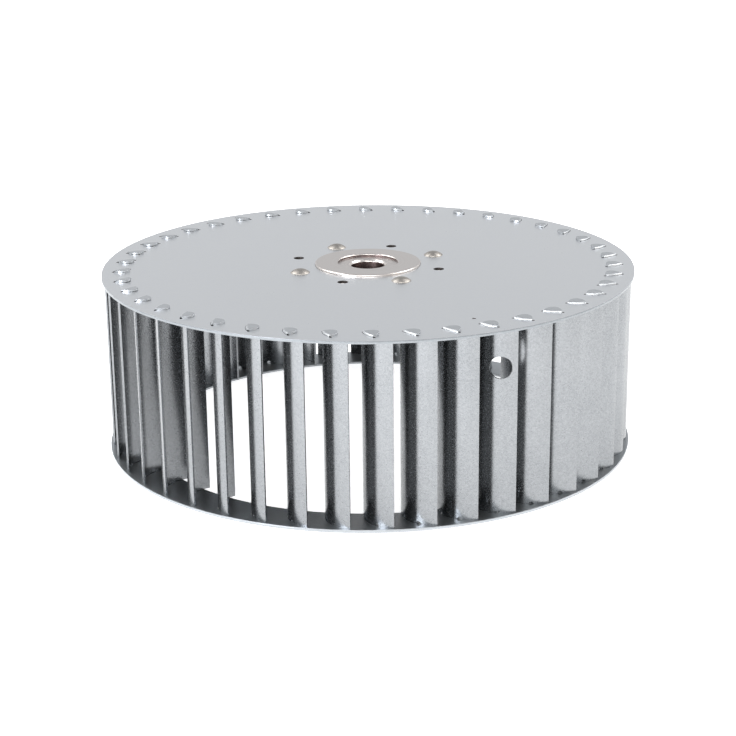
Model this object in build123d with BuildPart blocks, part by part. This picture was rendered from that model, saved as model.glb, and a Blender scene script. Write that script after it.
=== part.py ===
from build123d import *

import os
from math import asin, atan2, cos, degrees, hypot, radians, sin, sqrt

# Blower motor wheel: a centrifugal fan wheel with forward-curved blades.
#
# A slotted back plate and an inlet ring of flat sheet hold a crown of curved sheet blades. Every blade
# has a tab at each end, pushed through a slot and folded flat on the outer face. A turned hub with a
# flange is riveted to the inside of the back plate; its spigot shows through the plate. One radial set
# screw clamps the motor shaft, and a hex key reaches it through a hole punched in one blade.
#
# Frame: the wheel stands on its inlet side. Z is the shaft axis and points to the back plate; z = 0 is
# the underside of the tabs folded under the inlet ring. Millimetres and degrees.

# Wheel
wheel_radius = 150.0  # rim of the back plate and of the inlet ring
wheel_height = 101.2  # from the ring's outer face to the back plate's outer face
eye_radius = 128.0  # the round air inlet in the ring
plate_thickness = 1.5
ring_thickness = 1.5

# Blades
blade_count = 42
blade_gauge = 1.0  # sheet thickness
tip_setback = 2.0  # the blade's outer edge stands this far inside the rim
eye_overhang = 3.5  # the blade's inner edge stands this far inside the eye
blade_stagger = 32.1  # chord against the radius through the inner edge
blade_turn = 104.8  # arc of the blade's curl
first_blade_angle = 3.35  # inner edge of the first blade

# Tabs, their slots and the relief notches beside them
tab_width = 9.5
flap_length = 7.0  # folded part, from the outside of the fold
flap_roundness = 0.95  # corner radius over half the flap's width at its end
fold_radius = 0.85
notch_radius = 1.3
notch_bite = 0.15  # the notch cuts this much into the tab's side
slot_side_gap = 0.15
slot_end_gap = 1.3

# Hub
bore_radius = 9.5
bore_chamfer = 1.2
boss_radius = 22.5
boss_reach = 36.0  # from the back plate's outer face down to the boss's end
flange_margin = 10.0  # from the circle of holes out to the flange's rim
flange_thickness = 5.0
spigot_radius = 30.0
spigot_stand = 1.2  # height over the back plate's outer face
spigot_gap = 0.1  # between the spigot and the back plate
recess_radius = 17.0
recess_depth = 1.4
edge_break = 0.5
root_fillet = 3.0

# Holes on one circle through the back plate and the flange
hole_circle_radius = 42.0
hole_count = 4
plain_hole_radius = 3.0
rivet_radius = 2.5
rivet_gap = 0.05
rivet_angle = 25.75
plain_hole_angle = rivet_angle + 180 / hole_count
rivet_head_radius = 5.5
rivet_head_height = 2.2
rivet_tail_radius = 4.2
rivet_tail_height = 1.8

# Set screw, and the key's hole in the blade in front of it
set_screw_radius = 4.0
set_screw_gap = 0.05
set_screw_length = 10.0
set_screw_drop = 21.2  # from the back plate's outer face down to the screw's axis
set_screw_retreat = 0.3  # the point stands this far back from the bore
set_screw_chamfer = 0.8
socket_flats = 4.0
socket_depth = 4.0
cup_radius = 2.4
cup_depth = 1.2
cup_taper = 40.0
key_blade = 35
key_hole_turn = 23.3  # from the tab towards the blade's outer edge, round the curl
key_hole_radius = 5.9
mark_radius = 1.0  # punched dot on the back plate that shows where the key blade is
mark_depth = 0.4
mark_setback = 25.3  # from the rim

# Levels
ring_outer_z = blade_gauge
ring_inner_z = ring_outer_z + ring_thickness
plate_outer_z = ring_outer_z + wheel_height
plate_inner_z = plate_outer_z - plate_thickness
spigot_top_z = plate_outer_z + spigot_stand
recess_floor_z = spigot_top_z - recess_depth
flange_under_z = plate_inner_z - flange_thickness
boss_end_z = plate_outer_z - boss_reach
set_screw_z = plate_outer_z - set_screw_drop

# The flange reaches past the circle of holes
flange_radius = hole_circle_radius + flange_margin

# The blade's curl: an arc whose chord runs from the inner edge to the outer edge
inner_edge_radius = eye_radius - eye_overhang
outer_edge_radius = wheel_radius - tip_setback
across = inner_edge_radius * sin(radians(blade_stagger))
along = inner_edge_radius * cos(radians(blade_stagger))
chord = sqrt(outer_edge_radius**2 - across**2) - along
half_turn = blade_turn / 2
curl_radius = chord / (2 * sin(radians(half_turn)))
curl_rise = curl_radius * cos(radians(half_turn))
curl_x = inner_edge_radius + chord / 2 * cos(radians(blade_stagger)) - curl_rise * sin(radians(blade_stagger))
curl_y = chord / 2 * sin(radians(blade_stagger)) + curl_rise * cos(radians(blade_stagger))
curl_place_radius = hypot(curl_x, curl_y)
curl_place_angle = first_blade_angle + degrees(atan2(curl_y, curl_x))
curl_facing = first_blade_angle + blade_stagger - 90  # from the curl's centre to its tab
pitch = 360 / blade_count
concave_radius = curl_radius - blade_gauge / 2
convex_radius = curl_radius + blade_gauge / 2


def turn_of(length):
    """The angle that a length takes round the curl."""
    return degrees(length / curl_radius)


tab_half_turn = turn_of(tab_width / 2)
notch_turn = turn_of(tab_width / 2 + notch_radius - notch_bite)
slot_half_turn = turn_of(tab_width / 2 + slot_end_gap)
flap_corner = flap_roundness * (convex_radius - flap_length) * sin(radians(tab_half_turn))


def curl_plane(number):
    """The level plane at a blade's centre of curl, with x pointing at its tab."""
    step = (number - 1) * pitch
    place = radians(curl_place_angle + step)
    facing = radians(curl_facing + step)
    origin = (curl_place_radius * cos(place), curl_place_radius * sin(place), 0)
    return Plane(origin=origin, x_dir=(cos(facing), sin(facing), 0), z_dir=(0, 0, 1))


def sheet_plane(number, turn, height):
    """The plane that touches a blade's sheet, turn degrees round the curl and at a height."""
    level = curl_plane(number)
    outward = level.x_dir.rotate(Axis.Z, turn)
    return Plane(origin=level.origin + outward * curl_radius + Vector(0, 0, height), z_dir=outward)


def curl_band(low_radius, high_radius, reach):
    """A strip of the curl between two radii, reach degrees to each side of the tab."""
    with BuildSketch() as band:
        with BuildLine():
            high = CenterArc((0, 0), high_radius, -reach, 2 * reach)
            low = CenterArc((0, 0), low_radius, -reach, 2 * reach)
            Line(high @ 0, low @ 0)
            Line(high @ 1, low @ 1)
        make_face()
    return band.sketch


tab_centre = curl_plane(key_blade).origin + curl_plane(key_blade).x_dir * curl_radius
mark_angle = degrees(atan2(tab_centre.Y, tab_centre.X))
tab_slot = curl_band(concave_radius - slot_side_gap, convex_radius + slot_side_gap, slot_half_turn)
slot_turn = curl_facing - curl_place_angle
os.makedirs("parts", exist_ok=True)

# Back plate: a flat disc with a slot for each blade's tab, the hub's opening and the circle of holes
with BuildPart() as back_plate:
    with BuildSketch(Plane.XY.offset(plate_inner_z)):
        Circle(wheel_radius)
        Circle(spigot_radius + spigot_gap, mode=Mode.SUBTRACT)
        with PolarLocations(curl_place_radius, blade_count, start_angle=curl_place_angle):
            add(tab_slot, rotation=slot_turn, mode=Mode.SUBTRACT)
        with PolarLocations(hole_circle_radius, hole_count, start_angle=plain_hole_angle):
            Circle(plain_hole_radius, mode=Mode.SUBTRACT)
        with PolarLocations(hole_circle_radius, hole_count, start_angle=rivet_angle):
            Circle(rivet_radius + rivet_gap, mode=Mode.SUBTRACT)
    extrude(amount=plate_thickness)
    with BuildSketch(Plane.XY.offset(plate_outer_z)):
        with PolarLocations(wheel_radius - mark_setback, 1, start_angle=mark_angle):
            Circle(mark_radius)
    extrude(amount=-mark_depth, mode=Mode.SUBTRACT)
back_plate.part.label = "back_plate"
export_step(back_plate.part, "parts/back_plate.step")

# Inlet ring: a flat ring round the eye, with the same slots
with BuildPart() as inlet_ring:
    with BuildSketch(Plane.XY.offset(ring_outer_z)):
        Circle(wheel_radius)
        Circle(eye_radius, mode=Mode.SUBTRACT)
        with PolarLocations(curl_place_radius, blade_count, start_angle=curl_place_angle):
            add(tab_slot, rotation=slot_turn, mode=Mode.SUBTRACT)
    extrude(amount=ring_thickness)
inlet_ring.part.label = "inlet_ring"
export_step(inlet_ring.part, "parts/inlet_ring.step")

# The first blade: a curled sheet between the plates, with a tab at each end that passes through its
# slot and folds towards the hollow side of the curl
with BuildPart() as first_blade:
    with BuildSketch(curl_plane(1).offset(ring_inner_z)):
        add(curl_band(concave_radius, convex_radius, half_turn))
    extrude(amount=plate_inner_z - ring_inner_z)
    for inner_z, outer_z, outwards in ((plate_inner_z, plate_outer_z, 1), (ring_inner_z, ring_outer_z, -1)):
        for side in (-1, 1):
            with BuildSketch(sheet_plane(1, side * notch_turn, inner_z)):
                Circle(notch_radius)
            extrude(amount=blade_gauge, both=True, mode=Mode.SUBTRACT)
        with BuildSketch(curl_plane(1).offset(inner_z)):
            add(curl_band(concave_radius, convex_radius, tab_half_turn))
        extrude(amount=outwards * abs(outer_z - inner_z))
        with BuildSketch(curl_plane(1).offset(outer_z)) as flap:
            add(curl_band(convex_radius - flap_length, convex_radius, tab_half_turn))
            fillet(flap.vertices().sort_by_distance((0, 0, 0))[:2], radius=flap_corner)
        extrude(amount=outwards * blade_gauge)
    arcs = first_blade.edges().filter_by(GeomType.CIRCLE)
    folds = arcs.group_by(Axis.Z)[-1] + arcs.group_by(Axis.Z)[0]
    fillet(folds.filter_by(lambda arc: abs(arc.radius - convex_radius) < fold_radius), radius=fold_radius)

# Every blade in its place; the key blade has the hole in front of the set screw
for number in range(1, blade_count + 1):
    with BuildPart() as blade:
        add(first_blade.part, rotation=(0, 0, (number - 1) * pitch))
        if number == key_blade:
            with BuildSketch(sheet_plane(number, key_hole_turn, set_screw_z)):
                Circle(key_hole_radius)
            extrude(amount=2 * blade_gauge, both=True, mode=Mode.SUBTRACT)
    blade.part.label = f"blade_{number:02d}"
    export_step(blade.part, f"parts/blade_{number:02d}.step")

# The set screw points from the shaft axis to the key's hole
key_hole = sheet_plane(key_blade, key_hole_turn, set_screw_z).origin
screw_way = Vector(key_hole.X, key_hole.Y, 0).normalized()
screw_axis = Vector(0, 0, set_screw_z)

# Hub: turned in one piece, then drilled
with BuildPart() as hub:
    with BuildSketch(Plane.XZ) as half_section:
        with BuildLine():
            Polyline(
                (bore_radius, boss_end_z + bore_chamfer),
                (bore_radius, recess_floor_z - bore_chamfer),
                (bore_radius + bore_chamfer, recess_floor_z),
                (recess_radius, recess_floor_z),
                (recess_radius, spigot_top_z - edge_break),
                (recess_radius + edge_break, spigot_top_z),
                (spigot_radius - edge_break, spigot_top_z),
                (spigot_radius, spigot_top_z - edge_break),
                (spigot_radius, plate_inner_z),
                (flange_radius, plate_inner_z),
                (flange_radius, flange_under_z),
                (boss_radius, flange_under_z),
                (boss_radius, boss_end_z + edge_break),
                (boss_radius - edge_break, boss_end_z),
                (bore_radius + bore_chamfer, boss_end_z),
                close=True,
            )
        make_face()
        root = half_section.vertices().sort_by_distance((boss_radius, flange_under_z, 0))[0]
        fillet(root, radius=root_fillet)
    revolve(axis=Axis.Z)
    with BuildSketch(Plane.XY.offset(plate_inner_z)):
        with PolarLocations(hole_circle_radius, hole_count, start_angle=plain_hole_angle):
            Circle(plain_hole_radius)
        with PolarLocations(hole_circle_radius, hole_count, start_angle=rivet_angle):
            Circle(rivet_radius + rivet_gap)
    extrude(amount=-flange_thickness, mode=Mode.SUBTRACT)
    with BuildSketch(Plane(origin=screw_axis, z_dir=screw_way)):
        Circle(set_screw_radius + set_screw_gap)
    extrude(amount=boss_radius + set_screw_gap, mode=Mode.SUBTRACT)
hub.part.label = "hub"
export_step(hub.part, "parts/hub.step")

# Rivets: a low domed head on the back plate and a flat driven tail under the flange
dome_radius = (rivet_head_height**2 + rivet_head_radius**2) / (2 * rivet_head_height)
dome_start = degrees(asin((dome_radius - rivet_head_height) / dome_radius))
with BuildPart() as hub_rivets:
    for number in range(hole_count):
        angle = radians(rivet_angle + number * 360 / hole_count)
        outward = Vector(cos(angle), sin(angle), 0)
        foot = outward * hole_circle_radius
        section = Plane(origin=foot, x_dir=outward, z_dir=outward.cross(Vector(0, 0, 1)))
        with BuildSketch(section):
            with BuildLine():
                dome_centre = (0, plate_outer_z + rivet_head_height - dome_radius)
                dome = CenterArc(dome_centre, dome_radius, dome_start, 90 - dome_start)
                Polyline(
                    dome @ 1,
                    (0, flange_under_z - rivet_tail_height),
                    (rivet_tail_radius, flange_under_z - rivet_tail_height),
                    (rivet_tail_radius, flange_under_z),
                    (rivet_radius, flange_under_z),
                    (rivet_radius, plate_outer_z),
                    dome @ 0,
                )
            make_face()
        revolve(axis=Axis(foot, (0, 0, 1)))
hub_rivets.part.label = "hub_rivets"
export_step(hub_rivets.part, "parts/hub_rivets.step")

# Set screw: a socket head at its outer end and a cup point towards the shaft
point_radius = bore_radius + set_screw_retreat
point_plane = Plane(origin=screw_axis + screw_way * point_radius, z_dir=screw_way)
with BuildPart() as set_screw:
    with BuildSketch(point_plane):
        Circle(set_screw_radius)
    extrude(amount=set_screw_length)
    chamfer(set_screw.edges().filter_by(GeomType.CIRCLE), length=set_screw_chamfer)
    with BuildSketch(point_plane.offset(set_screw_length)):
        RegularPolygon(radius=socket_flats / 2, side_count=6, major_radius=False)
    extrude(amount=-socket_depth, mode=Mode.SUBTRACT)
    with BuildSketch(point_plane):
        Circle(cup_radius)
    extrude(amount=cup_depth, taper=cup_taper, mode=Mode.SUBTRACT)
set_screw.part.label = "set_screw"
export_step(set_screw.part, "parts/set_screw.step")
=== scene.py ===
# %% [markdown]
# # A blower motor wheel
#
# The wheel of a heating blower: forty-two curved blades of galvanised sheet stand between a back plate
# and an inlet ring. A turned hub is riveted to the plate. Sizes and places could be typed in again, but
# the engineering model already holds them, so it is loaded first. This notebook then gives its pieces
# their folded tabs, broken edges and metal finishes.

# %% Load the engineering model
import math

import bmesh
import bpy
import numpy as np
from mathutils import Matrix, Vector


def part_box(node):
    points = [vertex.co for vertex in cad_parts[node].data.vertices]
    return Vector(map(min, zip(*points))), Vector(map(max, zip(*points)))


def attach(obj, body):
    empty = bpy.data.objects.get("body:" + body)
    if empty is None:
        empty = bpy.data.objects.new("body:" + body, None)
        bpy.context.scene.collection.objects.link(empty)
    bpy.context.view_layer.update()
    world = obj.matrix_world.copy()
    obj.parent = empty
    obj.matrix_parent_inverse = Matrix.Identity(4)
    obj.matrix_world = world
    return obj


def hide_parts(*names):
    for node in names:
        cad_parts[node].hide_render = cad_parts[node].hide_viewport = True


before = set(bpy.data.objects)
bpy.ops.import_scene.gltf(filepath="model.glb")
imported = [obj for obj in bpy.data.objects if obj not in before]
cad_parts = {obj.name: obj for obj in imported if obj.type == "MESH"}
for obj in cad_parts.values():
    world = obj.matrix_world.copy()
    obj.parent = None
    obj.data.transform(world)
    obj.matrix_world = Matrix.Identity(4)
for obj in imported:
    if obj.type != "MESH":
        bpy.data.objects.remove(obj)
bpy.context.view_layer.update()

MM = 0.001

# %% [markdown]
# ## Camera
#
# A camera could be aimed by eye with a Track To constraint. Here its place is written as a distance
# in front of the plate's centre and a height over it, with a tilt and a very small roll, because the
# same view comes back only when those four values are known.

# %% Camera in front of the wheel, a little above it
plate_low, plate_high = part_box("back_plate")
plate_top = plate_high.z
CAMERA_DISTANCE = 0.9649
CAMERA_RISE = 0.2519
CAMERA_TILT = math.radians(18.07)
CAMERA_ROLL = math.radians(-0.61)
LENS_MM = 85.72
SENSOR_MM = 36.0
VIEW_SIDE = 736  # the square view's side, in the unit of the two small shifts
SHIFT_RIGHT, SHIFT_UP = -1.0, 0.7

camera_data = bpy.data.cameras.new("camera")
camera_data.lens = LENS_MM
camera_data.sensor_width = SENSOR_MM
camera_data.shift_x = SHIFT_RIGHT / VIEW_SIDE
camera_data.shift_y = SHIFT_UP / VIEW_SIDE
camera = bpy.data.objects.new("camera", camera_data)
camera.location = (0, -CAMERA_DISTANCE, plate_top + CAMERA_RISE)
camera.rotation_mode = "XYZ"
tilt = Matrix.Rotation(math.pi / 2 - CAMERA_TILT, 3, "X")
roll = Matrix.Rotation(CAMERA_ROLL, 3, "Z")
camera.rotation_euler = (tilt @ roll).to_euler()
bpy.context.collection.objects.link(camera)
bpy.context.scene.camera = camera
bpy.context.scene.view_settings.view_transform = "Standard"
print("camera at", [round(v, 3) for v in camera.location])

# %% [markdown]
# ## Material helpers
#
# A finish could be built by hand in the Shader Editor. Written as code it is a small tree of nodes, so
# one function adds a node, and another sets or links the inputs of any node, old or new.

# %% Colours, nodes and a new material
def linear(code):
    """sRGB hex to linear RGBA: v/12.92 below 0.04045, otherwise ((v + 0.055)/1.055) to the power 2.4."""
    srgb = np.array([int(code[i:i + 2], 16) for i in (1, 3, 5)]) / 255
    value = np.where(srgb <= 0.04045, srgb / 12.92, ((srgb + 0.055) / 1.055) ** 2.4)
    return (*value.tolist(), 1.0)


def set_inputs(tree, node, inputs):
    """Links an input to another node's output, or gives it a value of its own."""
    for name, value in inputs.items():
        if isinstance(value, bpy.types.NodeSocket):
            tree.links.new(value, node.inputs[name])
        else:
            node.inputs[name].default_value = value


def add_node(tree, kind, inputs=None, **settings):
    """One node: settings are its own properties, inputs are socket values or other nodes' outputs."""
    made = tree.nodes.new(kind)
    for name, value in settings.items():
        setattr(made, name, value)
    set_inputs(tree, made, inputs or {})
    return made


def new_material(name, inputs):
    """A material, its tree and its shader, with these values on the shader's own sockets."""
    material = bpy.data.materials.new(name)
    material.use_nodes = True
    shader = material.node_tree.nodes["Principled BSDF"]
    set_inputs(material.node_tree, shader, inputs)
    return material, material.node_tree, shader


# A Mix node's colour sockets share their names with its number sockets, so they go by their places.
COLOUR_A, COLOUR_B, COLOUR_OUT = 6, 7, 2
METAL = {"Metallic": 1.0}
print("mid grey, linear:", round(linear("#808080")[0], 3))

# %% [markdown]
# ## Mesh helpers
#
# A surface could be built point by point. Here it is worked out as whole arrays of points and handed
# to the mesh in one call, which is quicker and keeps its formula in one place. Pressed and turned
# pieces never have knife-sharp edges, so every one of them gets a small bevel.

# %% New pieces, their volume and their edges
def new_mesh_piece(name, points, faces):
    """A mesh object at the origin from an array of points and a list of faces, shaded smooth."""
    mesh = bpy.data.meshes.new(name)
    mesh.from_pydata(points.tolist(), [], faces)
    mesh.validate()
    mesh.shade_smooth()
    piece = bpy.data.objects.new(name, mesh)
    bpy.context.collection.objects.link(piece)
    return piece


def signed_volume(points, quads):
    """Sum over the quads' two triangles of a . (b x c) / 6: positive when the faces point outwards."""
    a, b, c, d = (points[quads[:, i]] for i in range(4))
    return (a * (np.cross(b, c) + np.cross(c, d))).sum() / 6


def broken_edges(piece, width):
    """A Bevel modifier that rounds every edge sharper than 40 degrees."""
    bevel = piece.modifiers.new("broken edges", "BEVEL")
    bevel.width = width
    bevel.segments = 2
    bevel.limit_method = "ANGLE"
    bevel.angle_limit = math.radians(40)
    bevel.harden_normals = True


unit_square = np.array([[0, 0, 1], [1, 0, 1], [1, 1, 1], [0, 1, 1]])
print("unit square over the origin holds", round(signed_volume(unit_square, np.array([[0, 1, 2, 3]])), 3))

# %% [markdown]
# ## One pattern for colour, gloss and relief
#
# On bare metal the same marks change the colour, the gloss and the height of the skin. Each could have
# its own texture, but then they would not line up, so one pattern drives all three.

# %% Colour, roughness and bump from a pattern
def pattern_finish(tree, shader, pattern, height, colours, roughness, bump):
    """Pattern 0 gives the first colour and roughness, 1 the second; bump is its strength and depth."""
    tint = add_node(
        tree,
        "ShaderNodeMix",
        {"Factor": pattern, COLOUR_A: linear(colours[0]), COLOUR_B: linear(colours[1])},
        data_type="RGBA",
    )
    rough = add_node(
        tree, "ShaderNodeMapRange", {"Value": pattern, "To Min": roughness[0], "To Max": roughness[1]}
    )
    relief = add_node(tree, "ShaderNodeBump", {"Height": height, "Strength": bump[0], "Distance": bump[1]})
    set_inputs(
        tree,
        shader,
        {
            "Base Color": tint.outputs[COLOUR_OUT],
            "Roughness": rough.outputs["Result"],
            "Normal": relief.outputs["Normal"],
        },
    )


print("one pattern drives colour, roughness and bump")

# %% [markdown]
# ## Galvanised sheet
#
# The blades are cut from hot-dip galvanised strip: steel under a thin skin of zinc crystals. Each
# crystal reflects a little more or less than the next, so the sheet looks speckled, and it is duller
# than chrome. Painted speckles would repeat, so cells of a Voronoi texture are the crystals, a finer
# noise breaks them up, and a wide one adds stains from handling.

# %% Galvanised sheet material
GRAIN_SIZE, GRAIN_SHARE = 0.9 * MM, 0.6
STAIN_SIZE, STAIN_SHARE = 30 * MM, 0.3
SHEET_DULLER, SHEET_GLOSSIER = 0.07, 0.05
SHEET_BUMP = (0.25, 0.05 * MM)


def galvanised(name, dark, light, roughness, crystal_mm, contrast):
    """Zinc-coated sheet: crystal cells and fine grain drive colour, roughness and a very shallow bump."""
    material, tree, shader = new_material(name, METAL)
    place = add_node(tree, "ShaderNodeTexCoord").outputs["Object"]
    crystals = add_node(tree, "ShaderNodeTexVoronoi", {"Vector": place, "Scale": 1 / (crystal_mm * MM)})
    cell = add_node(tree, "ShaderNodeSeparateColor", {"Color": crystals.outputs["Color"]}).outputs["Red"]
    grain = add_node(
        tree,
        "ShaderNodeTexNoise",
        {"Vector": place, "Scale": 1 / GRAIN_SIZE, "Detail": 4.0, "Roughness": 0.6},
    ).outputs["Fac"]
    stain = add_node(
        tree, "ShaderNodeTexNoise", {"Vector": place, "Scale": 1 / STAIN_SIZE, "Detail": 3.0}
    ).outputs["Fac"]
    speckle = add_node(
        tree, "ShaderNodeMix", {"Factor": GRAIN_SHARE, "A": cell, "B": grain}, data_type="FLOAT"
    ).outputs["Result"]
    worn = add_node(
        tree, "ShaderNodeMix", {"Factor": STAIN_SHARE, "A": speckle, "B": stain}, data_type="FLOAT"
    ).outputs["Result"]
    spread = add_node(
        tree,
        "ShaderNodeMapRange",
        {"Value": worn, "From Min": 0.5 - contrast, "From Max": 0.5 + contrast},
    ).outputs["Result"]
    gloss = (roughness + SHEET_DULLER, roughness - SHEET_GLOSSIER)
    pattern_finish(tree, shader, spread, worn, (dark, light), gloss, SHEET_BUMP)
    return material


blade_sheet = galvanised("galvanised blade sheet", "#707376", "#959799", 0.25, 0.6, 0.5)
plate_sheet = galvanised("smooth zinc plate", "#D3D5D8", "#DADCDE", 0.28, 0.8, 0.9)
# The flaps are the same sheet as the blades; their lighter colour is painted light on the up-facing tops.
lit_flap_sheet = galvanised("flap sheet with painted light", "#ADB0B3", "#BDC0C3", 0.42, 0.7, 0.6)
# The plate's rim is darker than its top: partly bare cut steel, partly painted shade on the plate's side.
cut_rim_and_shade = galvanised("cut rim with painted shade", "#7C8084", "#94989B", 0.38, 0.8, 0.7)
ring_sheet = galvanised("zinc ring", "#9B9FA3", "#B0B4B7", 0.36, 0.8, 0.7)
print("sheets:", [m.name for m in (blade_sheet, plate_sheet, lit_flap_sheet, cut_rim_and_shade, ring_sheet)])

# %% [markdown]
# ## Turned, pressed and blackened steel
#
# The hub is turned on a lathe, which leaves fine rings and a soft shine. The rivets' heads are pressed,
# and the set screw is blackened in a hot bath. A picture of rings would have to be wrapped round each
# piece, so noise on the distance to the shaft axis makes them instead: it has no seam and fits every
# turned face at once. Real rings are a tenth or two of a millimetre apart, too fine to show, so they
# are drawn two to five times as coarse. The screw's bath colour varies over its height in the same way.

# %% Steel materials
STEEL_DULLER, STEEL_GLOSSIER = 0.08, 0.06
STEEL_BUMP = (0.3, 0.02 * MM)


def turned_steel(name, colour, shade, roughness, ring_mm):
    """Lathe-turned steel: noise on the distance to the shaft axis and the height along it."""
    material, tree, shader = new_material(name, METAL)
    place = add_node(tree, "ShaderNodeTexCoord").outputs["Object"]
    flat = add_node(tree, "ShaderNodeVectorMath", {0: place, 1: (1.0, 1.0, 0.0)}, operation="MULTIPLY")
    radius = add_node(
        tree, "ShaderNodeVectorMath", {0: flat.outputs["Vector"]}, operation="LENGTH"
    ).outputs["Value"]
    height = add_node(tree, "ShaderNodeSeparateXYZ", {"Vector": place}).outputs["Z"]
    cut = add_node(tree, "ShaderNodeCombineXYZ", {"X": radius, "Y": height})
    grooves = add_node(
        tree,
        "ShaderNodeTexNoise",
        {"Vector": cut.outputs["Vector"], "Scale": 1 / (ring_mm * MM), "Detail": 3.0},
    ).outputs["Fac"]
    gloss = (roughness + STEEL_DULLER, roughness - STEEL_GLOSSIER)
    pattern_finish(tree, shader, grooves, grooves, (shade, colour), gloss, STEEL_BUMP)
    return material


hub_steel = turned_steel("turned hub steel", "#D0CBC8", "#C3BDB9", 0.3, 0.5)
# The bore's dark brown is painted shade on the hub's recess wall and bore.
bore_shade_steel = turned_steel("bore steel with painted shade", "#7A6A66", "#54494A", 0.3, 0.5)
rivet_steel = turned_steel("pressed rivet steel", "#A8A49F", "#938E89", 0.42, 1.5)
screw_steel = turned_steel("blackened screw steel", "#4A4A4C", "#2C2C2E", 0.42, 0.8)
print("steels:", [m.name for m in (hub_steel, bore_shade_steel, rivet_steel, screw_steel)])

# %% [markdown]
# ## Sheared edges
#
# A punch leaves the wall of a slot or hole rough and bare, and little light gets down there. The walls
# could be shaded by a pattern, but a second plain material on those faces is clearer. Its dark colour is
# partly the bare cut steel and partly painted shade.

# %% Sheared edge material
# Dark colour: partly bare cut steel, partly painted shade on the walls of slots and holes.
sheared_and_shaded = new_material(
    "sheared edge", {"Base Color": linear("#4A4644"), "Metallic": 1.0, "Roughness": 0.55}
)[0]
print("bare wall:", sheared_and_shaded.name)

# %% [markdown]
# ## Blade sizes
#
# Each blade is a strip of sheet rolled to part of a circle. It could be placed by eye on one blade and
# copied, but four sizes fix the curl: the radii of its two edges, its stagger, which is how far its
# chord leans from the radius, and its turn, which is how much of a circle it covers.

# %% Blade sizes and the curl's circle
blade_nodes = sorted(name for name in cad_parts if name.startswith("blade_"))
BLADE_COUNT = len(blade_nodes)
KEY_BLADE = 35
PITCH = 2 * math.pi / BLADE_COUNT
GAUGE = 1.0 * MM
RING_INNER_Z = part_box("inlet_ring")[1].z
RING_OUTER_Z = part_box("inlet_ring")[0].z
PLATE_INNER_Z = plate_low.z
RIM_RADIUS = plate_high.x
RIM_MARGIN = 2.0 * MM
INNER_EDGE = 124.5 * MM
OUTER_EDGE = RIM_RADIUS - RIM_MARGIN
STAGGER = math.radians(32.1)
TURN = math.radians(104.8)
FIRST_ANGLE = math.radians(3.35)

chord = math.sqrt(OUTER_EDGE**2 - (INNER_EDGE * math.sin(STAGGER)) ** 2) - INNER_EDGE * math.cos(STAGGER)
CURL_RADIUS = chord / (2 * math.sin(TURN / 2))
curl_rise = CURL_RADIUS * math.cos(TURN / 2)
curl_x = INNER_EDGE + chord / 2 * math.cos(STAGGER) - curl_rise * math.sin(STAGGER)
curl_y = chord / 2 * math.sin(STAGGER) + curl_rise * math.cos(STAGGER)
CURL_PLACE = math.hypot(curl_x, curl_y)
CURL_PLACE_ANGLE = FIRST_ANGLE + math.atan2(curl_y, curl_x)
CURL_FACING = FIRST_ANGLE + STAGGER - math.pi / 2
BLANK_WIDTH = CURL_RADIUS * TURN
print("blades:", BLADE_COUNT, "curl radius, mm:", round(CURL_RADIUS / MM, 2))

# %% [markdown]
# ## The blank's grid
#
# On the bench a blade starts as a flat blank, with a tab at each end and a small round notch at each
# corner of a tab, which keeps the sheet from tearing when the tab is folded. The blank could be a
# filled outline, but that has no points inside it and can't be rolled. So it is a grid of distance
# along the blank by height, with extra columns across the notches.

# %% Columns, notches and quads
TAB_WIDTH = 9.5 * MM
NOTCH_RADIUS = 1.3 * MM
NOTCH_COLUMNS, SIDE_COLUMNS, TAB_COLUMNS = 9, 9, 13


def grid_quads(index):
    """Quads between neighbouring rows and columns of an array of point numbers."""
    corners = [index[:-1, 1:], index[:-1, :-1], index[1:, :-1], index[1:, 1:]]
    return np.stack(corners, axis=-1).reshape(-1, 4)


def blank_columns():
    """Distances along the blank: even steps, and half circles of steps, 1 - cos, across each notch."""
    half, tab = BLANK_WIDTH / 2, TAB_WIDTH / 2
    notch = tab + NOTCH_RADIUS * (1 - np.cos(np.linspace(0, np.pi, NOTCH_COLUMNS)))
    outside = np.linspace(notch[-1], half, SIDE_COLUMNS)[1:]
    right = np.concatenate([notch, outside])
    middle = np.linspace(-tab, tab, TAB_COLUMNS)[1:-1]
    return np.concatenate([-right[::-1], middle, right])


def notch_depth(s):
    """How far the blank's end is cut back: sqrt(notch radius^2 - distance from the notch's centre^2)."""
    away = np.abs(s) - (TAB_WIDTH / 2 + NOTCH_RADIUS)
    return np.sqrt(np.maximum(NOTCH_RADIUS**2 - away**2, 0))


print("columns in a blank:", len(blank_columns()))

# %% [markdown]
# ## The key's hole
#
# One blade has a round hole through which a hex key reaches the set screw. A Boolean cut would leave
# thin slivers that bend badly, so a block of the grid is taken out and filled with rings of quads.

# %% A round hole in a grid
KEY_HOLE_RADIUS = 5.9 * MM
KEY_HOLE_TURN = math.radians(23.3)
KEY_HOLE_DROP = 21.2 * MM
HOLE_BLOCK = 1.25  # half the side of the block that is taken out, in hole radii
HOLE_RINGS = 4


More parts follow.
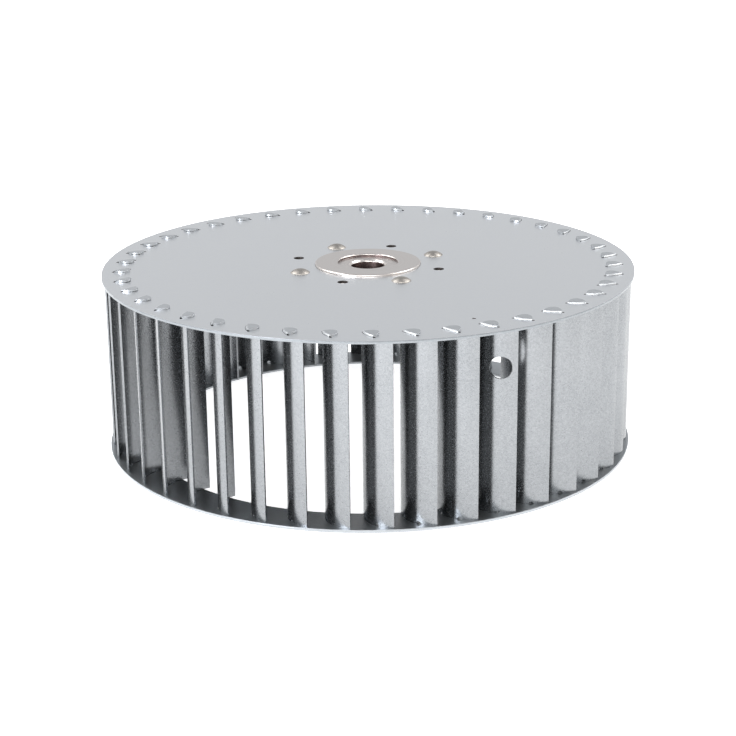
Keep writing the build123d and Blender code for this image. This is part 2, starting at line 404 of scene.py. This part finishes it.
def round_hole(s, z, index, centre, radius):
    """Replaces a block of the grid by rings of points that go from its border to a circle.

    Each ring lies between the border point and the circle's point in the same direction."""
    cs, cz = centre
    inside = (np.abs(s - cs) < radius * HOLE_BLOCK) & (np.abs(z - cz) < radius * HOLE_BLOCK)
    rows, columns = np.where(inside.any(1))[0], np.where(inside.any(0))[0]
    r0, r1, c0, c1 = rows[0] - 1, rows[-1] + 1, columns[0] - 1, min(columns[-1] + 1, s.shape[1] - 1)
    block = index[r0:r1 + 1, c0:c1 + 1]
    border = np.concatenate([block[0, :-1], block[:-1, -1], block[-1, :0:-1], block[:0:-1, 0]])
    bs, bz = s.ravel()[border], z.ravel()[border]
    angle = np.arctan2(bz - cz, bs - cs)
    step = np.linspace(0, 1, HOLE_RINGS + 1)[1:, None]
    rs = bs + (cs + radius * np.cos(angle) - bs) * step
    rz = bz + (cz + radius * np.sin(angle) - bz) * step
    numbers = np.arange(HOLE_RINGS * len(border)).reshape(HOLE_RINGS, -1) + s.size
    loops = np.vstack([border, numbers])
    loops = np.hstack([loops, loops[:, :1]])
    quads = grid_quads(index)
    keep = np.ones((index.shape[0] - 1, index.shape[1] - 1), bool)
    keep[r0:r1, c0:c1] = False
    return rs.ravel(), rz.ravel(), np.vstack([quads[keep.ravel()], grid_quads(loops)])


print("key's hole, mm across:", round(2 * KEY_HOLE_RADIUS / MM, 1))

# %% [markdown]
# ## A blank with its tabs
#
# The tabs run on from both ends of the blank. They could be pieces of their own, but a real tab is the
# same sheet, so its points start from the blank's last row. Each point keeps how far it lies past the
# end, which is what the fold needs.

# %% Blanks, plain and with the key's hole
FLAP_END = 6.5 * MM
FLAP_CORNER = 4.3 * MM
FOLD_RADIUS = 0.75 * MM
FOLD_ROWS, CORNER_ROWS = 7, 8
ROW_GAP = 0.1 * MM  # a corner's row closer than this to the fold is left out
A_HAIR_OVER = 1.0001  # so that rounding can't leave out the tab's own border columns
ROW_PLACES = np.concatenate([np.linspace(0, 0.04, 3), np.linspace(0.08, 0.92, 30), np.linspace(0.96, 1, 3)])


def blade_blank(with_hole):
    """Points of the blank as distance along it, height, path past the end and which end, and its quads.

    A tab's corner is a quarter circle: it narrows by radius - sqrt(radius^2 - reach^2)."""
    columns = blank_columns()
    s = np.broadcast_to(columns, (len(ROW_PLACES), len(columns)))
    low = RING_INNER_Z + notch_depth(columns)
    high = PLATE_INNER_Z - notch_depth(columns)
    z = low + (high - low) * ROW_PLACES[:, None]
    index = np.arange(s.size).reshape(s.shape)
    quads = grid_quads(index)
    all_s, all_z = [s.ravel()], [z.ravel()]
    if with_hole:
        centre = (CURL_RADIUS * KEY_HOLE_TURN, plate_top - KEY_HOLE_DROP)
        rs, rz, quads = round_hole(s, z, index, centre, KEY_HOLE_RADIUS)
        all_s.append(rs)
        all_z.append(rz)
    start = sum(map(len, all_s))
    all_q, all_end = [np.zeros(start)], [np.zeros(start)]
    faces = [quads]
    tab_columns = np.where(np.abs(columns) <= TAB_WIDTH / 2 * A_HAIR_OVER)[0]
    neck = (plate_top - PLATE_INNER_Z) + GAUGE / 2 - FOLD_RADIUS
    length = neck + FOLD_RADIUS * math.pi / 2 + FLAP_END - FOLD_RADIUS
    fold = np.linspace(neck, neck + FOLD_RADIUS * math.pi / 2, FOLD_ROWS)
    corner = length - FLAP_CORNER * np.cos(np.linspace(0, np.pi / 2, CORNER_ROWS))
    q = np.concatenate([[neck / 2], fold, corner[corner > fold[-1] + ROW_GAP]])
    reach = np.maximum(q - (length - FLAP_CORNER), 0)
    width = 1 - (FLAP_CORNER - np.sqrt(np.maximum(FLAP_CORNER**2 - reach**2, 0))) / (TAB_WIDTH / 2)
    for end, edge_row, edge_z in ((1, -1, PLATE_INNER_Z), (-1, 0, RING_INNER_Z)):
        tab_s = columns[tab_columns] * width[:, None]
        numbers = np.arange(tab_s.size).reshape(tab_s.shape) + start
        start += tab_s.size
        stack = np.vstack([index[edge_row, tab_columns], numbers])
        faces.append(grid_quads(stack if end > 0 else stack[::-1]))
        all_s.append(tab_s.ravel())
        all_z.append(np.full(tab_s.size, edge_z))
        all_q.append(np.repeat(q, len(tab_columns)))
        all_end.append(np.full(tab_s.size, float(end)))
    return [np.concatenate(part) for part in (all_s, all_z, all_q, all_end)] + [neck, np.vstack(faces)]


plain_blank = blade_blank(False)
key_blank = blade_blank(True)
print("points in a blank:", len(plain_blank[0]), "with the key's hole:", len(key_blank[0]))

# %% [markdown]
# ## Roll and fold
#
# A blank is rolled to its curl, its tabs go through the slots, and they are folded over. A Simple
# Deform modifier could bend it, but only round one axis at a time, and the tabs bend the other way. One
# formula that follows the sheet's path does both.

# %% Roll and fold a blank
def formed_blade(blank, number, spring):
    """Rolls and folds a blank.

    Along the blank the sheet follows a circle: angle = distance / curl radius. Past an end the path
    runs straight through the slot, then round a quarter circle of the fold radius, then flat over
    the plate. Each side of the sheet is half a gauge from that middle surface, along its normal."""
    s, z, q, end, neck, quads = blank
    bend = np.clip((q - neck) / FOLD_RADIUS, 0, math.pi / 2 - spring * (end > 0))
    flat = np.maximum(q - neck - FOLD_RADIUS * bend, 0) * (q > neck)
    inward = FOLD_RADIUS * (1 - np.cos(bend)) + flat * np.sin(bend)
    up = np.minimum(q, neck) + FOLD_RADIUS * np.sin(bend) + flat * np.cos(bend)
    place = CURL_PLACE_ANGLE + (number - 1) * PITCH
    turn = CURL_FACING + (number - 1) * PITCH + s / CURL_RADIUS
    out = np.stack([np.cos(turn), np.sin(turn), np.zeros_like(turn)], axis=1)
    centre = np.array([CURL_PLACE * math.cos(place), CURL_PLACE * math.sin(place), 0])
    middle = centre + out * (CURL_RADIUS - inward)[:, None]
    middle[:, 2] = z + end * up
    normal = -out * np.cos(bend)[:, None]
    normal[:, 2] = -end * np.sin(bend)
    points = np.vstack([middle + normal * GAUGE / 2, middle - normal * GAUGE / 2])
    count = len(s)
    edges = np.vstack([quads[:, [i, (i + 1) % 4]] for i in range(4)])
    codes, back = edges[:, 0] * count + edges[:, 1], edges[:, 1] * count + edges[:, 0]
    rim = edges[~np.isin(codes, back)]
    walls = np.stack([rim[:, 1], rim[:, 0], rim[:, 0] + count, rim[:, 1] + count], axis=1)
    return points, np.vstack([quads, quads[:, ::-1] + count, walls])


first_points, first_faces = formed_blade(plain_blank, 1, 0.0)
print("blade volume, mm3:", round(signed_volume(first_points, first_faces) / MM**3))

# %% [markdown]
# ## All the blades
#
# The blades could be one array, but each fits its own slots and one has a hole. No two tabs spring back
# alike after the fold, so each is drawn with its own small angle. The flaps lie flat and face up, so their
# faces have their own material, lighter than the blade's: painted light on the tops of the same sheet.

# %% Form the blades
SEED = 42
LEAST_SPRING, MOST_SPRING = 0.5, 2.5  # degrees that a folded flap stands up again
BLADE_BREAK = 0.12 * MM
CLEAR_OF_PLATE = 0.1 * MM

rng = np.random.default_rng(SEED)
blades = []
for number, node_name in enumerate(blade_nodes, start=1):
    blank = key_blank if number == KEY_BLADE else plain_blank
    spring = math.radians(rng.uniform(LEAST_SPRING, MOST_SPRING))
    points, faces = formed_blade(blank, number, spring)
    blade = new_mesh_piece(node_name + "_sheet", points, faces.tolist())
    broken_edges(blade, BLADE_BREAK)
    blade.data.materials.append(blade_sheet)
    blade.data.materials.append(lit_flap_sheet)
    heights = points[faces, 2]
    flaps = (heights.min(1) > plate_top - CLEAR_OF_PLATE) | (heights.max(1) < RING_OUTER_Z + CLEAR_OF_PLATE)
    # Flap faces take the lighter flap material: painted light on the sheet's up-facing tops.
    blade.data.polygons.foreach_set("material_index", flaps.astype(np.int32))
    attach(blade, "wheel")
    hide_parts(node_name)
    blades.append(blade)
print("blades formed:", len(blades))

# %% [markdown]
# ## Copies with broken edges
#
# The plate, ring, hub, rivets and set screw have the right shapes in the engineering model. They could
# be modelled again, but a copy of each mesh is exact: its loose triangles are merged, and a Bevel
# modifier breaks the sharp edges, as a deburring tool does, so that they catch light.

# %% Merge, shade and break the edges of a copy
MERGE_DISTANCE = 0.002 * MM
LEVEL = 0.999  # a face whose normal is this close to the axis is level, and shaded flat


def deburred(node_name, body, material, width):
    """A merged copy of a model node with its sharp edges broken by a bevel."""
    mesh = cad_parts[node_name].data.copy()
    mesh.materials.clear()
    shell = bmesh.new()
    shell.from_mesh(mesh)
    bmesh.ops.remove_doubles(shell, verts=shell.verts, dist=MERGE_DISTANCE)
    bmesh.ops.dissolve_degenerate(shell, edges=shell.edges, dist=MERGE_DISTANCE)
    shell.to_mesh(mesh)
    shell.free()
    mesh.shade_smooth()
    normal = np.empty(len(mesh.polygons) * 3)
    mesh.polygons.foreach_get("normal", normal)
    mesh.polygons.foreach_set("use_smooth", np.abs(normal[2::3]) < LEVEL)
    piece = bpy.data.objects.new(node_name + "_finished", mesh)
    bpy.context.collection.objects.link(piece)
    mesh.materials.append(material)
    broken_edges(piece, width)
    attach(piece, body)
    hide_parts(node_name)
    return piece


SHEET_BREAK, HUB_BREAK, SCREW_BREAK = 0.18 * MM, 0.15 * MM, 0.1 * MM
plate = deburred("back_plate", "wheel", plate_sheet, SHEET_BREAK)
ring = deburred("inlet_ring", "wheel", ring_sheet, SHEET_BREAK)
hub = deburred("hub", "wheel", hub_steel, HUB_BREAK)
rivets = deburred("hub_rivets", "wheel", rivet_steel, HUB_BREAK)
screw = deburred("set_screw", "set_screw", screw_steel, SCREW_BREAK)
print("deburred copies:", [piece.name for piece in (plate, ring, hub, rivets, screw)])

# %% [markdown]
# ## Walls of slots, rim and bore
#
# The upright walls of a sheet are where it was cut, and their dark materials are partly bare steel and
# partly painted shade. The hub's recess wall and bore are painted dark as shade. Those faces could be
# picked by hand in Edit Mode. They are picked by their normals and their distance from the shaft axis
# instead, which still works after a change of size.

# %% Other materials on upright faces
UPRIGHT = 0.5  # a face whose normal is less than this along the axis is upright
RIM_BAND = 1 * MM
BORE_AND_RECESS = 17.4 * MM


def upright_faces(piece, material, low_radius=0.0, high_radius=math.inf):
    """Gives a material to the upright faces between two distances from the shaft axis."""
    slot = len(piece.data.materials)
    piece.data.materials.append(material)
    count = len(piece.data.polygons)
    normal, middle = np.empty(count * 3), np.empty(count * 3)
    piece.data.polygons.foreach_get("normal", normal)
    piece.data.polygons.foreach_get("center", middle)
    radius = np.hypot(middle[0::3], middle[1::3])
    chosen = (np.abs(normal[2::3]) < UPRIGHT) & (radius > low_radius) & (radius < high_radius)
    index = np.empty(count, np.int32)
    piece.data.polygons.foreach_get("material_index", index)
    piece.data.polygons.foreach_set("material_index", np.where(chosen, slot, index).astype(np.int32))
    return int(chosen.sum())


# The slot and hole walls take the dark material: partly bare steel, partly painted shade.
print("sheared faces:", upright_faces(plate, sheared_and_shaded, high_radius=RIM_RADIUS - RIM_BAND))
# The plate's outer rim takes a darker material: partly bare cut steel, partly painted shade.
print("rim faces:", upright_faces(plate, cut_rim_and_shade, low_radius=RIM_RADIUS - RIM_BAND))
# The recess wall and bore take the dark bore material: painted shade.
print("bore faces:", upright_faces(hub, bore_shade_steel, high_radius=BORE_AND_RECESS))

# %% [markdown]
# ## Floor
#
# The wheel stands on a white light table. A grey table would need brighter metal. This one is lit
# brighter than white, so it stays white in the shade under the wheel, and the blades that look out
# over the open table shine, while those that look into the wheel stay dark.

# %% Light table
FLOOR_HALF_SIZE = 6.0
corners = np.array([[-1, -1, 0], [1, -1, 0], [1, 1, 0], [-1, 1, 0]])
floor = new_mesh_piece("floor", corners * FLOOR_HALF_SIZE, [(0, 1, 2, 3)])
floor_white = new_material(
    "light table",
    {
        "Base Color": linear("#F2F2F2"),
        "Roughness": 0.9,
        "Specular IOR Level": 0.0,
        "Emission Color": linear("#FFFFFF"),
        "Emission Strength": 0.74,
    },
)[0]
floor.data.materials.append(floor_white)
print("table, m across:", 2 * FLOOR_HALF_SIZE)

# %% [markdown]
# ## Sky
#
# Around the table is a pale room, a little darker overhead. One even grey would do for light, but metal
# needs something to mirror, and the change from wall to ceiling gives its curves a soft shading.

# %% Pale room
SKY_CEILING = 0.7  # how steeply up the ceiling's colour is reached, as the sine of the angle
world = bpy.data.worlds.new("studio")
bpy.context.scene.world = world
world.use_nodes = True
sky = world.node_tree
way = add_node(sky, "ShaderNodeTexCoord").outputs["Generated"]
rise = add_node(sky, "ShaderNodeSeparateXYZ", {"Vector": way}).outputs["Z"]
shade = add_node(sky, "ShaderNodeMapRange", {"Value": rise, "From Min": 0.0, "From Max": SKY_CEILING})
tone = add_node(
    sky,
    "ShaderNodeMix",
    {"Factor": shade.outputs["Result"], COLOUR_A: linear("#F6F7F8"), COLOUR_B: linear("#B9BCC0")},
    data_type="RGBA",
)
set_inputs(sky, sky.nodes["Background"], {"Color": tone.outputs[COLOUR_OUT]})
print("nodes in the sky:", len(sky.nodes))

# %% [markdown]
# ## Soft lights
#
# One high softbox stands in front of the wheel and two behind it. One box overhead would be simpler, but
# the flat plate mirrors it and vanishes from above. With these three it shows from above, but seen from
# straight behind and a little above it still turns white, a fault that these lights leave open. A low
# light at the left brightens the blades there, and a faint warm one at the right lifts that side.

# %% Softboxes
LIGHT_TARGET = Vector((0, 0, 0.05))
# Name, place in metres, side in metres, power in watts, colour.
SOFT_LIGHTS = (
    ("front", (0.0, -1.1, 1.25), 0.9, 16.0, "#FFFDFA"),
    ("back right", (1.0, 0.45, 1.25), 0.9, 13.0, "#FFFDFA"),
    ("back left", (-1.0, 0.45, 1.25), 0.9, 13.0, "#FFFDFA"),
    ("left", (-0.75, -0.75, 0.5), 0.4, 10.0, "#F8FAFF"),
    ("right", (1.1, -0.5, 0.8), 0.5, 1.5, "#FFF1E2"),
)
for light_name, light_place, side, power, colour in SOFT_LIGHTS:
    light_data = bpy.data.lights.new(light_name, "AREA")
    light_data.size = side
    light_data.energy = power
    light_data.color = linear(colour)[:3]
    lamp = bpy.data.objects.new(light_name, light_data)
    lamp.location = light_place
    lamp.rotation_euler = (LIGHT_TARGET - Vector(light_place)).to_track_quat("-Z", "Y").to_euler()
    bpy.context.collection.objects.link(lamp)
print("soft lights:", len(SOFT_LIGHTS))
